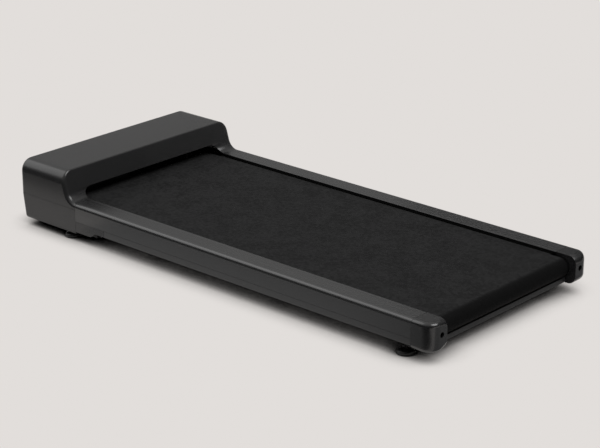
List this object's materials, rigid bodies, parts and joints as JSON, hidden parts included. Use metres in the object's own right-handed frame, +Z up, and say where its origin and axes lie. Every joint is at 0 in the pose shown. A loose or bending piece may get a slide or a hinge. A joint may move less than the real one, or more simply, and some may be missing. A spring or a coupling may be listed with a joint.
{
  "type": "walking pad",
  "caption": "Low under-desk walking pad: rounded motor hood, brushed side rails, black walking belt on rollers, rear end caps and levelling feet.",
  "frame": {"origin": "centre of the footprint on the floor, under the feet", "axes": "+X towards the rear step-on end, away from the hood; +Y to the side away from the picture's near rail; +Z up"},
  "size_m": [1.177, 0.52, 0.152],
  "materials": {
    "hood_plastic": "satin moulded",
    "skirt_plastic": "satin moulded",
    "cap_plastic": "satin moulded",
    "rail_aluminium": "brushed, dark anodised",
    "belt_rubber": "matte woven",
    "frame_paint": "satin black",
    "grey_paint": "satin grey",
    "deck_wood": "black laminate",
    "cushion_rubber": "matte",
    "foot_rubber": "matte",
    "stud_steel": "black oxide",
    "bright_steel": "turned",
    "motor_paint": "satin black",
    "bell_alloy": "cast",
    "flywheel_iron": "machined",
    "pulley_alloy": "machined",
    "drive_rubber": "ribbed",
    "board_laminate": "solder mask",
    "sink_alloy": "extruded",
    "brass": "plain",
    "inlet_plastic": "moulded",
    "rocker_plastic": "moulded red",
    "wheel_plastic": "moulded"
  },
  "bodies": {
    "chassis": {"hood_cover": "hood_plastic", "base_tray": "hood_plastic", "front_frame": "frame_paint", "frame_tube_left": "frame_paint", "frame_tube_right": "frame_paint", "middle_crossbar_front": "frame_paint", "middle_crossbar_rear": "frame_paint", "deck_board": "deck_wood", "deck_cushions": "cushion_rubber", "deck_screws": "bright_steel", "walking_belt": "belt_rubber", "front_axle": "bright_steel", "axle_bracket_left": "frame_paint", "axle_bracket_right": "frame_paint", "rear_crossbar": "grey_paint", "side_rail_left": "rail_aluminium", "side_rail_right": "rail_aluminium", "side_skirt_left": "skirt_plastic", "side_skirt_right": "skirt_plastic", "end_cap_left": "cap_plastic", "end_cap_right": "cap_plastic", "cap_screws": "bright_steel", "motor_can": "motor_paint", "motor_end_bells": "bell_alloy", "motor_cradle": "motor_paint", "drive_belt": "drive_rubber", "controller_board": "board_laminate", "board_standoffs": "brass", "heat_sink": "sink_alloy", "power_inlet": "inlet_plastic", "inlet_pins": "brass", "switch_frame": "inlet_plastic", "wheel_pin_left": "bright_steel", "wheel_pin_right": "bright_steel"},
    "front_roller": {"front_roller": "bright_steel", "front_roller_bearings": "bright_steel", "drive_pulley": "pulley_alloy"},
    "rear_axle": {"rear_axle": "bright_steel"},
    "rear_roller": {"rear_roller": "bright_steel", "rear_roller_bearings": "bright_steel"},
    "motor_rotor": {"motor_shaft": "bright_steel", "flywheel": "flywheel_iron", "motor_pulley": "pulley_alloy"},
    "switch_rocker": {"switch_rocker": "rocker_plastic"},
    "tension_bolt_left": {"tension_bolt_left": "stud_steel"},
    "transport_wheel_left": {"transport_wheel_left": "wheel_plastic"},
    "tension_bolt_right": {"tension_bolt_right": "stud_steel"},
    "transport_wheel_right": {"transport_wheel_right": "wheel_plastic"},
    "foot_front_left": {"foot_pad_front_left": "foot_rubber", "foot_stud_front_left": "stud_steel"},
    "foot_front_right": {"foot_pad_front_right": "foot_rubber", "foot_stud_front_right": "stud_steel"},
    "foot_rear_left": {"foot_pad_rear_left": "foot_rubber", "foot_stud_rear_left": "stud_steel"},
    "foot_rear_right": {"foot_pad_rear_right": "foot_rubber", "foot_stud_rear_right": "stud_steel"}
  },
  "joints": [
    {"name": "front_roller_spin", "type": "hinge", "parent": "chassis", "child": "front_roller", "pos_m": [-0.4575, 0, 0.06], "axis": [0, 1, 0], "continuous": true},
    {"name": "belt_tension_slide", "type": "slide", "parent": "chassis", "child": "rear_axle", "axis": [1, 0, 0], "range_m": [-0.005, 0]},
    {"name": "rear_roller_spin", "type": "hinge", "parent": "rear_axle", "child": "rear_roller", "pos_m": [0.553, 0, 0.06], "axis": [0, 1, 0], "continuous": true},
    {"name": "motor_spin", "type": "hinge", "parent": "chassis", "child": "motor_rotor", "pos_m": [-0.5315, 0, 0.066], "axis": [0, 1, 0], "continuous": true},
    {"name": "power_switch_rock", "type": "hinge", "parent": "chassis", "child": "switch_rocker", "pos_m": [-0.579, 0.095, 0.048], "axis": [0, -1, 0], "range_deg": [0, 10]},
    {"name": "tension_bolt_left_turn", "type": "hinge", "parent": "chassis", "child": "tension_bolt_left", "pos_m": [0.5725, -0.2282, 0.06], "axis": [1, 0, 0], "continuous": true},
    {"name": "transport_wheel_left_spin", "type": "hinge", "parent": "chassis", "child": "transport_wheel_left", "pos_m": [-0.5565, -0.205, 0.022], "axis": [0, 1, 0], "continuous": true},
    {"name": "tension_bolt_right_turn", "type": "hinge", "parent": "chassis", "child": "tension_bolt_right", "pos_m": [0.5725, 0.2282, 0.06], "axis": [1, 0, 0], "continuous": true},
    {"name": "transport_wheel_right_spin", "type": "hinge", "parent": "chassis", "child": "transport_wheel_right", "pos_m": [-0.5565, 0.205, 0.022], "axis": [0, 1, 0], "continuous": true},
    {"name": "foot_front_left_level", "type": "slide", "parent": "chassis", "child": "foot_front_left", "axis": [0, 0, -1], "range_m": [0, 0.008]},
    {"name": "foot_front_right_level", "type": "slide", "parent": "chassis", "child": "foot_front_right", "axis": [0, 0, -1], "range_m": [0, 0.008]},
    {"name": "foot_rear_left_level", "type": "slide", "parent": "chassis", "child": "foot_rear_left", "axis": [0, 0, -1], "range_m": [0, 0.008]},
    {"name": "foot_rear_right_level", "type": "slide", "parent": "chassis", "child": "foot_rear_right", "axis": [0, 0, -1], "range_m": [0, 0.008]}
  ],
  "couplings": [
    {"joint": "rear_roller_spin", "follows": "front_roller_spin", "ratio": 1},
    {"joint": "motor_spin", "follows": "front_roller_spin", "ratio": 2.5833}
  ]
}
